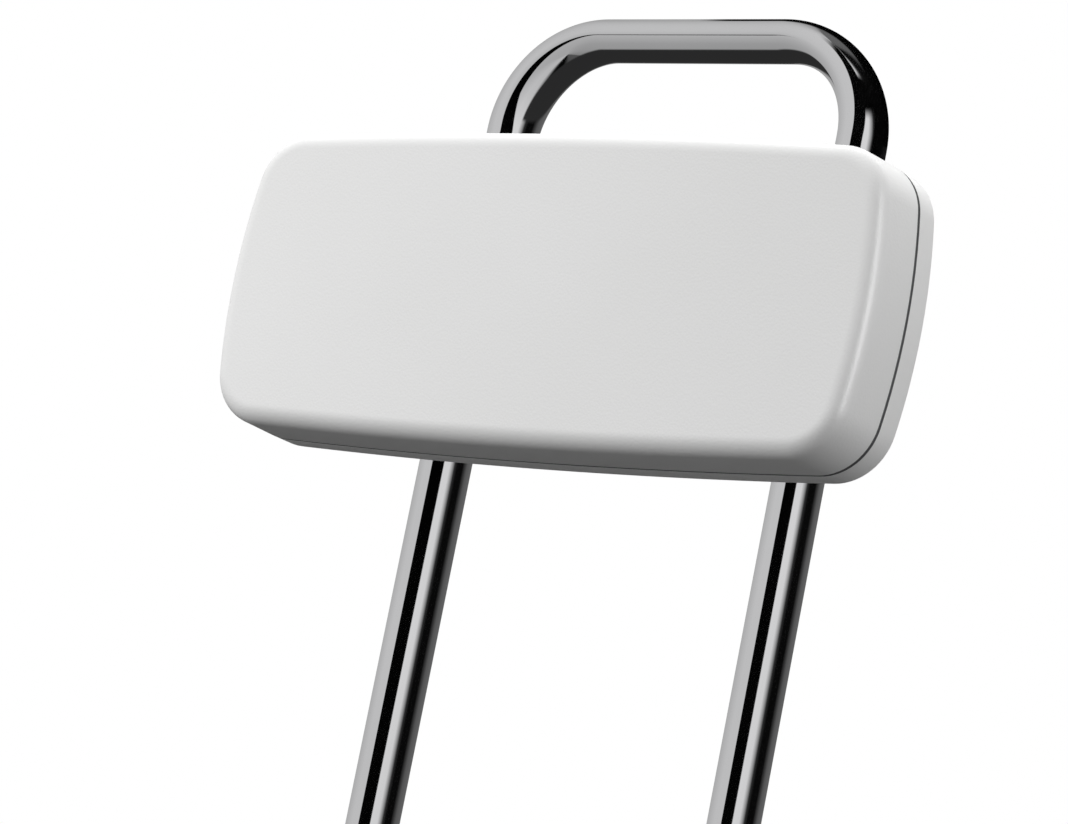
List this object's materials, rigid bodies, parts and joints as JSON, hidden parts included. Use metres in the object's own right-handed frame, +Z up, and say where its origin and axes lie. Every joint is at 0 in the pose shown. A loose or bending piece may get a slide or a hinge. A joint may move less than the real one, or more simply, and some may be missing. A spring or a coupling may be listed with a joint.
{
  "type": "security gate",
  "caption": "Free-standing retail anti-theft gate: a bent chromed oval-tube hoop on a floor plate with a rounded white antenna housing clamped near its top.",
  "frame": {"origin": "on the floor, at the centre of the base plate and under the middle of the hoop", "axes": "+X to the right seen from the front, +Z up, the housing's front face towards -Y"},
  "size_m": [0.545, 0.3, 1.4999],
  "materials": {
    "chrome_tube": "polished",
    "white_shell": "fine grained, semi-gloss",
    "seal_grey": "matt",
    "clamp_white": "satin",
    "base_paint": "powder coated",
    "zinc": "zinc plated",
    "screw_steel": "plain",
    "black_rubber": "matt",
    "former_board": "laminate",
    "coil_copper": "enamelled",
    "board_green": "solder mask",
    "brass": "plain",
    "component_black": "moulded",
    "terminal_green": "moulded",
    "plunger_red": "moulded",
    "lock_chrome": "polished"
  },
  "bodies": {
    "frame": {"base_plate": "base_paint", "socket_left": "zinc", "socket_right": "zinc", "socket_bolts": "screw_steel", "leg_screws": "screw_steel", "foot_cover_left": "white_shell", "foot_cover_right": "white_shell", "base_grommet": "black_rubber", "hoop_tube": "chrome_tube", "clamp_base_upper_left": "clamp_white", "clamp_base_upper_right": "clamp_white", "clamp_base_lower_left": "clamp_white", "clamp_base_lower_right": "clamp_white", "clamp_cap_upper_left": "clamp_white", "clamp_cap_upper_right": "clamp_white", "clamp_cap_lower_left": "clamp_white", "clamp_cap_lower_right": "clamp_white", "clamp_screws": "screw_steel", "clamp_nuts": "zinc", "front_shell": "white_shell", "rear_shell": "white_shell", "parting_seal": "seal_grey", "shell_screws": "screw_steel", "cable_duct": "clamp_white", "cable_grommet": "black_rubber", "chassis_plate": "zinc", "electronics_tray": "zinc", "tray_screws": "screw_steel", "antenna_former": "former_board", "former_screws": "screw_steel", "transmit_coil": "coil_copper", "receive_coil_left": "coil_copper", "receive_coil_right": "coil_copper", "main_board": "board_green", "board_standoffs": "brass", "board_components": "component_black", "power_module": "component_black", "terminal_block": "terminal_green", "sounder": "component_black", "tamper_switch": "component_black", "hinge_bracket": "zinc", "hinge_screws": "screw_steel", "hinge_pin": "screw_steel"},
    "door": {"service_door": "white_shell", "door_gasket": "black_rubber", "lock_body": "lock_chrome"},
    "lock": {"lock_barrel": "lock_chrome", "lock_cam": "zinc"},
    "plunger": {"tamper_plunger": "plunger_red"}
  },
  "joints": [
    {"name": "door_hinge", "type": "hinge", "parent": "frame", "child": "door", "pos_m": [-0.096, -0.066, 1.2575], "axis": [0, 0, 1], "range_deg": [0, 100]},
    {"name": "lock_turn", "type": "hinge", "parent": "door", "child": "lock", "pos_m": [0.077, -0.082, 1.2575], "axis": [0, -1, 0], "range_deg": [0, 90]},
    {"name": "tamper_press", "type": "slide", "parent": "frame", "child": "plunger", "axis": [0, 1, 0], "range_m": [-0.003, 0], "stiffness_N_per_m": 150}
  ]
}
